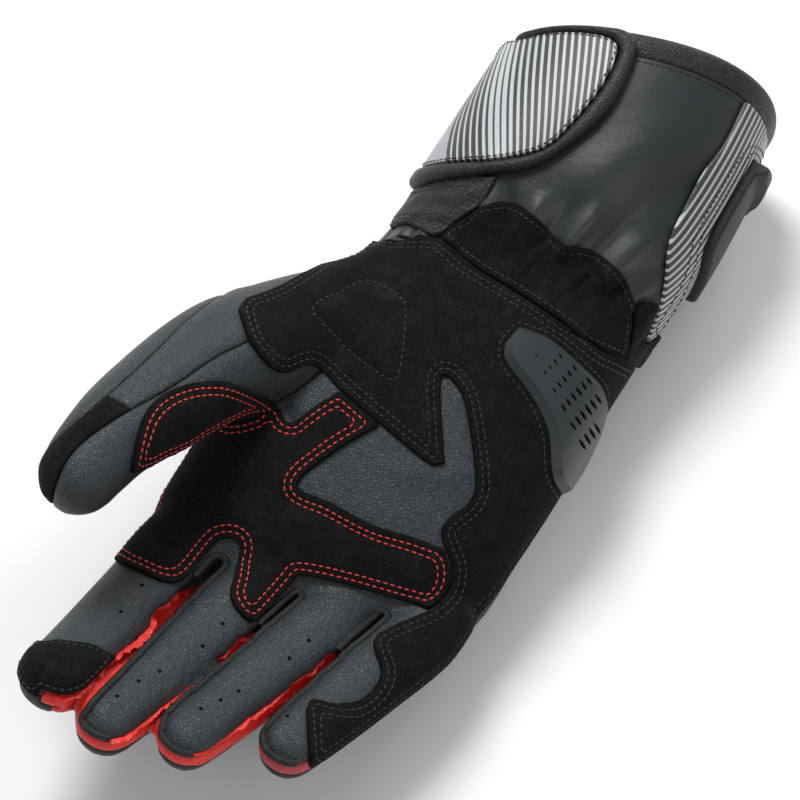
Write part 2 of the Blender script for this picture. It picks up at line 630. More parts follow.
def gathers(places):
    """Small pleats round the wrist, deepest at its sides."""
    y = places[:, 1] - wrist_slant * (places[:, 0] - cuff_centre)
    near = np.exp(-((y - wrist_place - 3) / 9) ** 2)
    ring = np.arctan2(places[:, 2] - 30, places[:, 0] - cuff_centre)
    low = smooth_step(1.5, 12, places[:, 2])
    return near * low * (0.55 * np.sin(26 * ring) + 0.3 * np.sin(41 * ring + y * 0.3))


def slit_distance(places):
    """How far a point of the palm side is from the nearest slit between two fingers."""
    nearest = np.full(len(places), 60.0)
    for (one, other), start in zip(zip(fingers, fingers[1:]), slit_starts):
        below = np.minimum(places[:, 1], start)
        middle_x = sum(finger_place(f, 0)[0] + f[5] * (below - finger_place(f, 0)[1]) for f in (one, other)) / 2
        high = places[:, 2] > finger_height(one, places[:, 1]) + 0.5
        away = np.hypot(places[:, 0] - middle_x, places[:, 1] - below) - slit_wider[one[0]]
        below_web = smooth_step(8, 16, start - places[:, 1])
        away = away + below_web * (0.35 * np.sin(places[:, 1] * 0.55 + start) + 0.25 * np.sin(places[:, 1] * 1.3))
        nearest = np.where(high, np.minimum(nearest, away), nearest)
    return nearest


# The slits between the fingers start at the webs.
slit_starts = (-69.0, -66.0, -58.0)
slit_wider = {"index": 0.7, "middle": 0.0, "ring": 0.0}
slit_depth, slit_half_width, slit_end = 4.0, 1.25, -96
calm_normals = normals_of(skin_places, skin_faces)
slit_near = slit_distance(skin_places)
slit_deep = -slit_depth * np.exp(-(np.maximum(slit_near, 0) / slit_half_width) ** 2)
slit_deep = slit_deep * smooth_step(slit_end - 4, slit_end, skin_places[:, 1])
resting = smooth_step(0.4, 4, skin_places[:, 2])
moved = (fold_depth(skin_places) + gathers(skin_places) + slit_deep) * resting
folded_places = skin_places + calm_normals * moved[:, None]
calm = Sheet(skin_places, calm_normals, skin_faces)
skin = Sheet(folded_places, normals_of(folded_places, skin_faces), skin_faces)
fingers_near = np.min([distance_to(finger[0], skin_places) for finger in fingers], axis=0)
body_near = distance_to("body", skin_places)
skin.numbers["thumb"] = distance_to("thumb", skin_places) - np.minimum(body_near, fingers_near)
skin.numbers["parting"] = parting(skin_places) - skin_places[:, 2]
skin.numbers["slit"] = slit_near
print("folds:", len(folds), "skin box:", skin_places.min(0).round(1), skin_places.max(0).round(1))

# %% [markdown]
# ## Shells
# A sewn panel is a thin wall. Its outer side is rounded over at the cut edge, sinks a little where the
# thread pulls it down, and swells between seams. The shell maker takes a sheet, how high each side stands on
# the skin, and closes the two sides with a wall along the border.

# %% Make a shell
def rounded(edge, radius):
    """0 at the border, rising to 1 over the radius as a quarter circle."""
    t = np.clip(edge / radius, 0, 1)
    return np.sqrt(np.maximum(0, 1 - (1 - t) ** 2))


def dent(value, place, width):
    return np.exp(-((value - place) / width) ** 2)


def to_metres(places):
    return (places + origin_shift) * MM


def mesh_object(name, places, faces, numbers, sharp=50):
    mesh = bpy.data.meshes.new(name)
    mesh.vertices.add(len(places))
    mesh.vertices.foreach_set("co", to_metres(places).ravel())
    mesh.loops.add(len(faces) * 3)
    mesh.loops.foreach_set("vertex_index", faces.ravel())
    mesh.polygons.add(len(faces))
    mesh.polygons.foreach_set("loop_start", np.arange(len(faces)) * 3)
    mesh.update(calc_edges=True)
    mesh.validate()
    for key, value in numbers.items():
        mesh.attributes.new(key, "FLOAT", "POINT").data.foreach_set("value", value.astype(np.float32))
    mesh.polygons.foreach_set("use_smooth", np.ones(len(mesh.polygons), bool))
    mesh.set_sharp_from_angle(angle=math.radians(sharp))
    obj = bpy.data.objects.new(name, mesh)
    bpy.context.collection.objects.link(obj)
    return obj


def shell(name, sheet, outer, inner, keep=("edge",), sharp=50):
    """A closed wall from outer to inner, both heights above the skin in millimetres."""
    count = len(sheet.places)
    outer, inner = np.broadcast_to(outer, count), np.broadcast_to(inner, count)
    top = sheet.places + sheet.normals * outer[:, None]
    bottom = sheet.places + sheet.normals * inner[:, None]
    for side in (top, bottom):
        side[:, 2] = np.maximum(side[:, 2], 0.0)
    border = sheet.border()
    walls = np.vstack([np.stack([border[:, 1], border[:, 0], border[:, 0] + count], -1),
                       np.stack([border[:, 1], border[:, 0] + count, border[:, 1] + count], -1)])
    faces = np.vstack([sheet.faces, sheet.faces[:, ::-1] + count, walls])
    numbers = {k: np.tile(sheet.numbers[k], 2) for k in keep if k in sheet.numbers}
    numbers["inside"] = np.repeat([0.0, 1.0], count)
    sheet.numbers["outer"] = outer
    return mesh_object(name, np.vstack([top, bottom]), faces, numbers, sharp)


def edge_rings(sheet, *levels):
    """Cuts the sheet along lines at these distances from its border, so that its edge can be rounded."""
    for level in levels:
        sheet, _ = sheet.cut(sheet.numbers["edge"] - level, 0.04)
    return sheet


pieces, sheets = {}, {}


def add_piece(name, obj, *nodes, slot):
    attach(obj, "root")
    if nodes:
        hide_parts(*nodes)
    obj.data.materials.append(finishes[slot])
    pieces[name] = obj
    print(name, len(obj.data.polygons), "triangles")
    return obj

# %% [markdown]
# ## Finishes
# Leather, suede, plastic and cloth differ less in colour than in how their surface scatters light, so each
# finish is mostly a height pattern and a roughness. All patterns are measured in millimetres on the object,
# so that grain has its real size on every panel.

# %% A small kit for finishes
class Value:
    """A number in a material. Arithmetic on it adds Math nodes."""

    def __init__(self, finish, socket):
        self.finish, self.socket = finish, socket

    def math(self, operation, first, second=0.0, clamp=False):
        return self.finish.node("ShaderNodeMath", {"operation": operation, "use_clamp": clamp}, {0: first, 1: second})

    def __add__(self, other):
        return self.math("ADD", self, other)

    def __sub__(self, other):
        return self.math("SUBTRACT", self, other)

    def __rsub__(self, other):
        return self.math("SUBTRACT", other, self)

    def __mul__(self, other):
        return self.math("MULTIPLY", self, other)

    __radd__, __rmul__ = __add__, __mul__

    def rise(self, low, high):
        """0 below low, 1 above high, smooth between."""
        return self.finish.node("ShaderNodeMapRange", {"interpolation_type": "SMOOTHSTEP"},
                                {"Value": self, "From Min": low, "From Max": high})


class Finish:
    """A material that is built from patterns in millimetres."""

    def __init__(self, name, roughness=0.5, **shader):
        self.material = bpy.data.materials.new(name)
        self.material.use_nodes = True
        self.tree = self.material.node_tree
        self.tree.nodes.clear()
        self.shader = self.tree.nodes.new("ShaderNodeBsdfPrincipled")
        self.shader.inputs["Roughness"].default_value = roughness
        for key, value in shader.items():
            self.shader.inputs[key.replace("_", " ")].default_value = value
        self.node("ShaderNodeOutputMaterial", {}, {"Surface": Value(self, self.shader.outputs[0])}, None)
        place = self.node("ShaderNodeTexCoord", {}, {}, "Object")
        self.place = self.node("ShaderNodeVectorMath", {"operation": "SCALE"}, {0: place, "Scale": 1 / MM})

    def node(self, kind, settings=None, inputs=None, output=0):
        node = self.tree.nodes.new(kind)
        for key, value in (settings or {}).items():
            setattr(node, key, value)
        for key, value in (inputs or {}).items():
            if isinstance(value, Value):
                self.tree.links.new(value.socket, node.inputs[key])
            else:
                node.inputs[key].default_value = value
        return None if output is None else Value(self, node.outputs[output])

    def noise(self, size, detail=2.0, distortion=0.0):
        return self.node("ShaderNodeTexNoise", {}, {"Vector": self.place, "Scale": 1 / size, "Detail": detail,
                                                    "Distortion": distortion})

    def cells(self, size, feature="F1", at=None):
        return self.node("ShaderNodeTexVoronoi", {"feature": feature}, {"Vector": at or self.place, "Scale": 1 / size})

    def warped(self, size, reach):
        """Places pushed about by a noise, so that a pattern is less regular."""
        push = self.node("ShaderNodeTexNoise", {}, {"Vector": self.place, "Scale": 1 / size}, "Color")
        push = self.node("ShaderNodeVectorMath", {"operation": "SCALE"}, {0: push, "Scale": reach})
        return self.node("ShaderNodeVectorMath", {"operation": "ADD"}, {0: self.place, 1: push})

    def number(self, name):
        return self.node("ShaderNodeAttribute", {"attribute_name": name}, {}, "Fac")

    def mix(self, share, a, b):
        a, b = [(*c, 1) if isinstance(c, tuple) and len(c) == 3 else c for c in (a, b)]
        return self.node("ShaderNodeMix", {"data_type": "RGBA"}, {0: share, 6: a, 7: b}, 2)

    def bump(self, height, depth, strength=1.0, over=None):
        inputs = {"Height": height, "Distance": depth * MM, "Strength": strength}
        if over is not None:
            inputs["Normal"] = over
        return self.node("ShaderNodeBump", {}, inputs)

    def wear(self, **values):
        for key, value in values.items():
            self.tree.links.new(value.socket, self.shader.inputs[key.replace("_", " ")])
        return self.material


# %% [markdown]
# ## Leather
# Grained leather has domed cells with fine creases between them, and soft crumples where it has bent. The
# cells are a Voronoi pattern pushed about by noise, which gives both the creases and the domes.

# %% Leather
def leather(name, colour, hollow, gloss=0.44, grain=0.85, depth=0.25, crumple=0.6, lining=(0.018, 0.018, 0.02)):
    """Grained leather: small cells with creases between them, and soft crumples over them."""
    skin_finish = Finish(name, gloss)
    warped = skin_finish.warped(2.6, 1.3)
    crease = skin_finish.cells(grain, "DISTANCE_TO_EDGE", warped).rise(0.0, 0.26)
    dome = 1 - skin_finish.cells(grain, "SMOOTH_F1", warped)
    soft = skin_finish.noise(2.4, 3.0, 0.6)
    fine = skin_finish.noise(0.22, 2.0)
    height = crease * 0.55 + dome * 0.35 + fine * 0.1
    normal = skin_finish.bump(height, depth, 0.9, skin_finish.bump(soft, crumple, 0.5))
    broad = skin_finish.noise(19.0, 3.0)
    tone = skin_finish.mix(crease * 0.7 + broad * 0.3, hollow, colour)
    seam = skin_finish.number("edge").rise(0.1, 1.5)
    tone = skin_finish.mix(seam * 0.45 + 0.55, tuple(c * 0.35 for c in colour), tone)
    tone = skin_finish.mix(skin_finish.number("inside").rise(0.4, 0.6), tone, lining)
    rough = 0.10 * skin_finish.noise(5.0) + 0.12 * (1 - crease) + (gloss - 0.06)
    return skin_finish.wear(Base_Color=tone, Roughness=rough, Normal=normal)


# %% [markdown]
# ## Suede and striped cloth
# Suede is buffed until its fibres stand up, so it has no gloss and shows lighter brushed spots. The striped
# cloth is coated: flat, a little shiny, with a weak weave.

# %% Suede and striped cloth
def suede(name, colour, light, nap=0.34, depth=0.16, **shader):
    """Buffed leather: a short nap with no gloss, lighter where it has been brushed."""
    nap_finish = Finish(name, 0.96, Specular_IOR_Level=0.12, **shader)
    fibre = nap_finish.noise(nap, 4.0, 0.4)
    brushed = nap_finish.noise(5.5, 4.0, 0.8)
    tone = nap_finish.mix(fibre.rise(0.48, 0.76) * 0.75 + brushed.rise(0.4, 0.85) * 0.2, colour, light)
    tone = nap_finish.mix(nap_finish.number("edge").rise(0.0, 0.9), tuple(c * 0.5 for c in colour), tone)
    normal = nap_finish.bump(fibre * 0.7 + nap_finish.noise(1.1, 3.0) * 0.3, depth, 0.8)
    return nap_finish.wear(Base_Color=tone, Normal=normal)


def striped(name, dark, white, plain):
    """Coated cloth with printed stripes. Two numbers of the piece say where they run and how wide they are."""
    cloth = Finish(name, 0.5)
    phase = cloth.number("stripe")
    share = phase.math("FRACT", phase)
    away = share.math("ABSOLUTE", share - 0.5) * 2
    band = (cloth.number("white") - away) * 9 + 0.5
    band = band.math("ADD", band, 0.0, True)
    weave = cloth.node("ShaderNodeTexWave", {"bands_direction": "DIAGONAL"}, {"Vector": cloth.place, "Scale": 1.1,
                                                                             "Distortion": 1.5, "Detail": 1.0}, "Fac")
    tone = cloth.mix(band, dark, white)
    tone = cloth.mix(cloth.number("plain").rise(0.3, 0.7), tone, plain)
    tone = cloth.mix(cloth.noise(7.0, 3.0) * 0.16, tone, dark)
    tone = cloth.mix(cloth.number("inside").rise(0.4, 0.6), tone, (0.02, 0.02, 0.022))
    normal = cloth.bump(weave * 0.5 + cloth.noise(0.3, 2.0) * 0.5, 0.05, 0.6)
    return cloth.wear(Base_Color=tone, Roughness=0.42 + 0.16 * cloth.noise(1.2, 2.0), Normal=normal)


# %% [markdown]
# ## Plastic and thread
# Moulded plastic takes the fine texture of its mould and is scuffed at its edges. Thread is a dark or red
# twist whose plies are too small to model, so they are a bump.

# %% Plastic and thread
def plastic(name, colour, light, gloss, grain=0.3, depth=0.03):
    """Moulded plastic with a fine spark-eroded texture and scuffed edges."""
    shell_finish = Finish(name, gloss)
    speck = shell_finish.noise(grain, 3.0)
    scuff = shell_finish.noise(1.4, 4.0, 1.0).rise(0.52, 0.72) * (1 - shell_finish.number("edge").rise(0.1, 1.6))
    tone = shell_finish.mix(speck * 0.35 + scuff * 0.4, colour, light)
    rough = gloss + 0.12 * (speck - 0.5) + 0.1 * scuff
    return shell_finish.wear(Base_Color=tone, Roughness=rough, Normal=shell_finish.bump(speck, depth, 0.7))


def thread(name, colour, light):
    """Twisted thread: fine diagonal plies, a little shiny."""
    twist = Finish(name, 0.5, Sheen_Weight=0.2)
    ply = twist.noise(0.16, 2.0)
    tone = twist.mix(ply.rise(0.3, 0.75), colour, light)
    return twist.wear(Base_Color=tone, Normal=twist.bump(ply, 0.06, 0.8))


finishes = {
    "grey_leather": leather("grey grained leather", (0.031, 0.041, 0.047), (0.011, 0.015, 0.018)),
    "black_leather": leather("black grained leather", (0.010, 0.0115, 0.0125), (0.004, 0.0045, 0.005), 0.50, 1.0,
                             0.20),
    "red_leather": leather("red leather", (0.85, 0.030, 0.018), (0.62, 0.010, 0.008), 0.46, 0.9, 0.10, 0.6,
                           (0.45, 0.01, 0.01)),
    "pale_red_leather": leather("pale red leather", (0.50, 0.055, 0.075), (0.38, 0.03, 0.045), 0.5, 0.9, 0.10, 0.6,
                                (0.3, 0.02, 0.03)),
    "cuff_leather": leather("smooth cuff leather", (0.018, 0.023, 0.026), (0.013, 0.017, 0.019), 0.36, 0.6, 0.04,
                            0.12),
    "binding_leather": leather("binding leather", (0.008, 0.009, 0.0095), (0.004, 0.004, 0.004), 0.44, 0.9, 0.22,
                               0.15),
    "cord": leather("black cord", (0.006, 0.0065, 0.007), (0.003, 0.003, 0.003), 0.58, 0.8, 0.2, 0.2),
    "black_suede": suede("black suede", (0.0030, 0.0028, 0.0027), (0.034, 0.031, 0.030), Sheen_Weight=0.02),
    "soft_black_fabric": suede("black stretch fabric", (0.003, 0.003, 0.0035), (0.02, 0.02, 0.022), 0.7, 0.5,
                               Sheen_Weight=0.05),
    "striped_fabric": striped("striped coated cloth", (0.036, 0.040, 0.043), (0.52, 0.54, 0.56), (0.36, 0.365, 0.39)),
    "grey_plastic": plastic("grey moulded plastic", (0.022, 0.028, 0.031), (0.045, 0.051, 0.055), 0.36),
    "black_plastic": plastic("black moulded plastic", (0.0045, 0.005, 0.0055), (0.014, 0.015, 0.016), 0.60),
    "black_thread": thread("black thread", (0.0012, 0.0012, 0.0012), (0.006, 0.006, 0.0063)),
    "red_thread": thread("red thread", (0.55, 0.012, 0.012), (0.85, 0.06, 0.05)),
    "hole": suede("punched hole", (0.002, 0.002, 0.002), (0.006, 0.006, 0.006)),
}
print("finishes:", len(finishes))

# %% [markdown]
# ## Stitches
# A seam is sewn with a needle that steps a fixed length, so its stitches are a repeated shape along a path.
# Geometry Nodes do exactly that: a line becomes a curve, the curve is cut into equal steps, and one small
# thread lies on each step, turned along the curve and flat on the leather. Changing the pitch in one place
# sews the glove again. Piping, which is a cord in the seam, uses the same lines with a round profile.

# %% Node trees for stitches, piping and perforations
def new_tree(name, *sizes):
    tree = bpy.data.node_groups.new(name, "GeometryNodeTree")
    tree.interface.new_socket("Geometry", in_out="INPUT", socket_type="NodeSocketGeometry")
    for size, kind, start in sizes:
        tree.interface.new_socket(size, in_out="INPUT", socket_type="NodeSocket" + kind).default_value = start
    tree.interface.new_socket("Material", in_out="INPUT", socket_type="NodeSocketMaterial")
    tree.interface.new_socket("Geometry", in_out="OUTPUT", socket_type="NodeSocketGeometry")
    return tree, tree.nodes.new("NodeGroupInput"), tree.nodes.new("NodeGroupOutput")


def add(tree, kind, inputs=None, **settings):
    node = tree.nodes.new(kind)
    for key, value in settings.items():
        setattr(node, key, value)
    for key, value in (inputs or {}).items():
        if isinstance(value, bpy.types.NodeSocket):
            tree.links.new(value, node.inputs[key])
        else:
            node.inputs[key].default_value = value
    return node


def end_tree(tree, group_in, group_out, geometry):
    real = add(tree, "GeometryNodeRealizeInstances", {"Geometry": geometry})
    painted = add(tree, "GeometryNodeSetMaterial", {"Geometry": real.outputs[0],
                                                    "Material": group_in.outputs["Material"]})
    smooth = add(tree, "GeometryNodeSetShadeSmooth", {"Geometry": painted.outputs[0]})
    tree.links.new(smooth.outputs[0], group_out.inputs["Geometry"])


def laid_on_surface(tree, along):
    """A turn that points X along a vector and Z along the stored normal."""
    normal = add(tree, "GeometryNodeInputNamedAttribute", {"Name": "lay"}, data_type="FLOAT_VECTOR").outputs[0]
    first = add(tree, "FunctionNodeAlignRotationToVector", {"Vector": normal}, axis="Z").outputs[0]
    return add(tree, "FunctionNodeAlignRotationToVector", {"Rotation": first, "Vector": along}, axis="X",
               pivot_axis="Z").outputs[0]


def stitch_tree():
    tree, group_in, group_out = new_tree("Sew stitches", ("Pitch", "Float", 2.3 * MM), ("Length", "Float", 0.7),
                                         ("Thread", "Float", 0.5 * MM))
    curve = add(tree, "GeometryNodeMeshToCurve", {"Mesh": group_in.outputs["Geometry"]}).outputs[0]
    steps = add(tree, "GeometryNodeResampleCurve", {"Curve": curve, "Length": group_in.outputs["Pitch"]},
                mode="LENGTH")
    tangent = add(tree, "GeometryNodeInputTangent").outputs[0]
    kept = add(tree, "GeometryNodeStoreNamedAttribute", {"Geometry": steps.outputs[0], "Name": "along",
                                                          "Value": tangent}, data_type="FLOAT_VECTOR", domain="POINT")
    along = add(tree, "GeometryNodeInputNamedAttribute", {"Name": "along"}, data_type="FLOAT_VECTOR").outputs[0]
    thread = add(tree, "GeometryNodeMeshUVSphere", {"Segments": 6, "Rings": 5, "Radius": 0.5}).outputs[0]
    shape = add(tree, "GeometryNodeTransform", {"Geometry": thread, "Rotation": (0, math.pi / 2, 0)}).outputs[0]
    length = add(tree, "ShaderNodeMath", {0: group_in.outputs["Pitch"], 1: group_in.outputs["Length"]},
                 operation="MULTIPLY").outputs[0]
    scale = add(tree, "ShaderNodeCombineXYZ", {"X": length, "Y": group_in.outputs["Thread"],
                                               "Z": group_in.outputs["Thread"]}).outputs[0]
    placed = add(tree, "GeometryNodeInstanceOnPoints", {"Points": kept.outputs[0], "Instance": shape,
                                                        "Rotation": laid_on_surface(tree, along), "Scale": scale})
    end_tree(tree, group_in, group_out, placed.outputs[0])
    return tree


def piping_tree():
    tree, group_in, group_out = new_tree("Lay piping", ("Width", "Float", 1.4 * MM))
    curve = add(tree, "GeometryNodeMeshToCurve", {"Mesh": group_in.outputs["Geometry"]}).outputs[0]
    radius = add(tree, "ShaderNodeMath", {0: group_in.outputs["Width"], 1: 0.5}, operation="MULTIPLY").outputs[0]
    profile = add(tree, "GeometryNodeCurvePrimitiveCircle", {"Resolution": 8, "Radius": radius}).outputs[0]
    cord = add(tree, "GeometryNodeCurveToMesh", {"Curve": curve, "Profile Curve": profile, "Fill Caps": True})
    end_tree(tree, group_in, group_out, cord.outputs[0])
    return tree


def hole_tree():
    tree, group_in, group_out = new_tree("Punch holes", ("Width", "Float", 1.1 * MM))
    disc = add(tree, "GeometryNodeMeshCircle", {"Vertices": 12, "Radius": 0.5}, fill_type="NGON").outputs[0]
    points = add(tree, "GeometryNodeMeshToPoints", {"Mesh": group_in.outputs["Geometry"]}).outputs[0]
    turned = laid_on_surface(tree, add(tree, "FunctionNodeInputVector", vector=(1, 0, 0)).outputs[0])
    placed = add(tree, "GeometryNodeInstanceOnPoints", {"Points": points, "Instance": disc, "Rotation": turned,
                                                        "Scale": group_in.outputs["Width"]})
    end_tree(tree, group_in, group_out, placed.outputs[0])
    return tree


trees_of = {"stitches": stitch_tree(), "piping": piping_tree(), "holes": hole_tree()}


def run_tree(name, kind, chains, material, slot, **sizes):
    """Draws chains of points with a node tree, and keeps the result as a plain mesh."""
    places, normals, edges, start = [], [], [], 0
    for chain, lay in chains:
        places.append(chain)
        normals.append(lay)
        edges += [(start + i, start + i + 1) for i in range(len(chain) - 1)] if kind != "holes" else []
        start += len(chain)
    mesh = bpy.data.meshes.new(name)
    mesh.from_pydata(to_metres(np.vstack(places)).tolist(), edges, [])
    mesh.attributes.new("lay", "FLOAT_VECTOR", "POINT").data.foreach_set("vector", np.vstack(normals).ravel())
    obj = bpy.data.objects.new(name, mesh)
    bpy.context.collection.objects.link(obj)
    modifier = obj.modifiers.new("Tree", "NODES")
    modifier.node_group = trees_of[kind]
    sockets = {item.name: item.identifier for item in trees_of[kind].interface.items_tree if item.in_out == "INPUT"}
    modifier[sockets["Material"]] = material
    for key, value in sizes.items():
        modifier[sockets[key.capitalize()]] = float(value)
    result = bpy.data.meshes.new_from_object(obj.evaluated_get(bpy.context.evaluated_depsgraph_get()))
    obj.modifiers.clear()
    obj.data = result
    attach(obj, "root")
    pieces[name] = obj
    print(name, len(result.polygons), "faces")
    return obj


# %% Sewing lines
def evened(places, normals, step=0.6):
    """The chain resampled to equal steps and smoothed a little."""
    for _ in range(2):
        places[1:-1] = (places[:-2] + 2 * places[1:-1] + places[2:]) / 4
    run = np.append(0, np.cumsum(np.linalg.norm(np.diff(places, axis=0), axis=1)))
    at = np.linspace(0, run[-1], max(3, int(run[-1] / step)))
    return tuple(np.stack([np.interp(at, run, a[:, k]) for k in range(3)], -1) for a in (places, normals))


def row_of(name, number, value, lift=0.12, where=None, shortest=8.0):
    """The lines on a piece where a number has a value, lifted onto its outer side."""
    sheet, rows = sheets[name], []
    for places, normals, numbers in sheet.lines(sheet.numbers[number] - value, shortest):
        chain = places + normals * (numbers["outer"] + lift)[:, None]
        inside = np.ones(len(chain), bool) if where is None else where(chain)
        cuts = np.flatnonzero(np.diff(inside.astype(int))) + 1
        for part, shown in zip(np.split(np.arange(len(chain)), cuts), np.split(inside, cuts)):
            if shown[0] and len(part) > 4:
                rows.append(evened(chain[part].copy(), normals[part]))
    return rows

# %% [markdown]
# ## The hand's leather
# The palm side of the hand and the fingers is one dark grey leather piece. The black back meets it along the
# parting line. Red gussets fill the fingers' sides, and each opens from a point at the web.

# %% Regions of the hand
plan = on_plan(calm.places)
x, y, z = calm.places.T
past_wrist = y - (wrist_place + wrist_slant * (x - cuff_centre))
past_rim = y - (rim_place + rim_slant * (x - cuff_centre))


def finger_side(finger, places):
    """How far a point is to the side of a finger's axis, above 0 towards the pinky."""
    root = finger_place(finger, 0)
    return places[:, 0] - root[0] - finger[5] * (places[:, 1] - root[1])


def gusset_field(sheet):
    """Below 0 in the bands along the fingers' sides and round their tips."""
    px, py, pz = sheet.places.T
    best = np.full(len(px), 1e3)
    for finger in fingers:
        root, name = finger_place(finger, 0), finger[0]
        start = wrist_place - finger[7] * palm_length
        axis = root[0] + finger[5] * (py - root[1])
        side = px - axis
        half = gusset_half * smooth_step(6, 22, start - py) * 0.92 + 0.3
        tip = finger_place(finger, 1.0)[1]
        at_tip = smooth_step(-tip - 26, -tip - 6, -py)
        half = half * (1 - 0.38 * at_tip)
        band = np.maximum(np.abs(pz - finger_height(finger, py) - 0.3 * at_tip) - half, py - start)
        near = np.abs(side) - finger_width * 0.62
        if name == "index":
            near = np.maximum(near, 1.5 - side)
        if name == "pinky":
            near = np.maximum(near, side - 3 - 9 * at_tip)
        best = np.minimum(best, np.maximum(band, near))
    return best


piping_from_slit, piping_from_gusset = 1.95, 0.7
skin.numbers["gusset"] = gusset_field(skin)
skin.numbers["wrist"] = past_wrist
skin.numbers["rim"] = past_rim
hand = skin.inside(skin.numbers["wrist"])
hand_body = hand.inside(-hand.numbers["thumb"])
thumb = skin.inside(skin.numbers["thumb"])
hand_body.numbers["piped"] = np.minimum(hand_body.numbers["slit"] - piping_from_slit,
                                        hand_body.numbers["gusset"] - piping_from_gusset)
panels = hand_body.inside(-hand_body.numbers["gusset"])
gussets = hand_body.inside(hand_body.numbers["gusset"])
palm = panels.inside(panels.numbers["parting"])
back = panels.inside(-panels.numbers["parting"])
print("palm", len(palm.faces), "back", len(back.faces), "gussets", len(gussets.faces), "thumb", len(thumb.faces))

# %% Palm, back and gussets
def panel(name, sheet, node, slot, sink=0.9, radius=1.6, swell=0.35, rings=(0.4, 1.0)):
    """A leather panel that is drawn down at its seams and swells beside them."""
    sheet = edge_rings(sheet.measure_edge(), *rings)
    edge = sheet.numbers["edge"]
    outer = sink * (rounded(edge, radius) - 1) + swell * dent(edge, 4.5, 3.0)
    sheets[name] = sheet
    return add_piece(name, shell(name, sheet, outer, -leather_wall), node, slot=slot)


panel("palm_leather", palm, "palm_leather", "grey_leather")
panel("back_leather", back, "back_leather", "black_leather")
for finger in fingers:
    others = [f for f in fingers if f is not finger]
    away = lambda f: np.abs(finger_side(f, gussets.places))
    nearest = away(finger) - np.min([away(f) for f in others], axis=0)
    slot_name = "pale_red_leather" if finger[0] == "pinky" else "red_leather"
    panel("gusset_" + finger[0], gussets.inside(nearest), "gusset_" + finger[0], slot_name, sink=1.0, swell=0.5)

# %% [markdown]
# ## The thumb
# The thumb is sewn from three lengthwise panels and has a suede strip round its tip.

# %% Thumb panels
thumb.numbers["seam_back"] = outline_field(on_plan(thumb.places), lines["thumb_back"])
thumb.numbers["seam_palm"] = outline_field(on_plan(thumb.places), lines["thumb_palm"])
tip_seam = wrist_place - 0.86 * palm_length
outer_thumb = thumb.inside(thumb.numbers["seam_back"])
rest = thumb.inside(-thumb.numbers["seam_back"])
middle = rest.inside(rest.numbers["seam_palm"])
inner_thumb = rest.inside(-rest.numbers["seam_palm"])
side_thumb = middle.inside(tip_seam - middle.places[:, 1])
tip_strip = middle.inside(middle.places[:, 1] - tip_seam)
panel("thumb_back", outer_thumb, "thumb_back", "grey_leather")
panel("thumb_side", side_thumb, "thumb_side", "grey_leather")
panel("thumb_inner", inner_thumb, "thumb_inner", "grey_leather")
panel("thumb_tip_strip", tip_strip, "thumb_tip_strip", "black_suede", sink=0.3, radius=0.8, swell=0.2)

# %% [markdown]
# ## Suede patches
# The patches lie on the leather and are sewn down near their edges, so they stand up by their thickness,
# with a soft rounded edge, and sink along the stitch rows.

# %% Heel, grip, wrist and fingertip patches
palm_side = np.maximum(skin.numbers["parting"] + 0.3, skin.numbers["wrist"] - 40)
axis_rows = thumb_axis(80)
axis_tree = kdtree.KDTree(len(axis_rows))
for i, row in enumerate(axis_rows):
    axis_tree.insert(row[:3], i)
axis_tree.balance()
axis_near = np.array([axis_tree.find(p)[1] for p in skin.places])
over_axis = (skin.places - axis_rows[axis_near, :3]) @ seen_from
thumb_under = np.where(skin.numbers["thumb"] < 1.5, 2.0 - over_axis, -20.0)
front = np.maximum(palm_side, thumb_under)


def patch(name, fields, node, slot, rows=(), lift=gap, thick=suede_thick, radius=0.9, swell=0.0, puff=None,
          keep=("edge",)):
    sheet = skin.inside(np.maximum.reduce(fields))
    sheet = edge_rings(sheet.measure_edge(), 0.3, 0.8)
    edge = sheet.numbers["edge"]
    outer = lift + thick * (0.25 + 0.75 * rounded(edge, radius)) + swell * smooth_step(1, 9, edge)
    if puff is not None:
        outer = outer + puff(sheet)
    for row in rows:
        outer = outer - 0.3 * dent(edge, row, 0.45)
    sheets[name] = sheet
    return add_piece(name, shell(name, sheet, outer, lift * 0.3, keep), node, slot=slot)


def thumb_pad(sheet):
    """The soft pad under the heel patch, sewn round its outline."""
    field = sheet.numbers["pad"]
    return 1.3 * smooth_step(0, 5, -field) - 0.5 * dent(field, 0, 0.7)


plan_field = {name: outline_field(plan, line) for name, line in lines.items()}
skin.numbers["pad"], skin.numbers["slider"] = plan_field["pad"], plan_field["slider"]
heel = patch("heel_patch", [plan_field["heel"], front, skin.numbers["wrist"] - 3], "heel_patch", "black_suede",
             rows=(2.2, 4.2), puff=thumb_pad)
patch("grip_patch", [plan_field["grip"], gap - plan_field["heel"], front], "grip_patch", "black_suede",
      rows=(2.2, 4.2))
patch("wrist_panel", [plan_field["wrist_panel"], gap - plan_field["heel"], parting_height - skin.places[:, 2]],
      "wrist_panel", "black_suede", rows=(2.0,), lift=gap + 0.3)
patch("index_tip_patch", [plan_field["index_tip"], skin.numbers["parting"] + 0.3, 0.6 - skin.numbers["gusset"]],
      "index_tip_patch", "black_suede", rows=(1.6,), swell=0.7)
patch("wrist_gusset", [plan_field["wrist_gusset"], gap - plan_field["heel"], gap - plan_field["wrist_panel"],
                       gap - plan_field["side"], gap - plan_field["guard"], 8 - z], "wrist_gusset",
      "soft_black_fabric", radius=1.2, swell=0.3)

# %% [markdown]
# ## The cuff
# The cuff is one smooth leather tube that ends in a rolled binding. The strap and the flap lie on it, and
# the outer side has a striped panel under a hard guard.

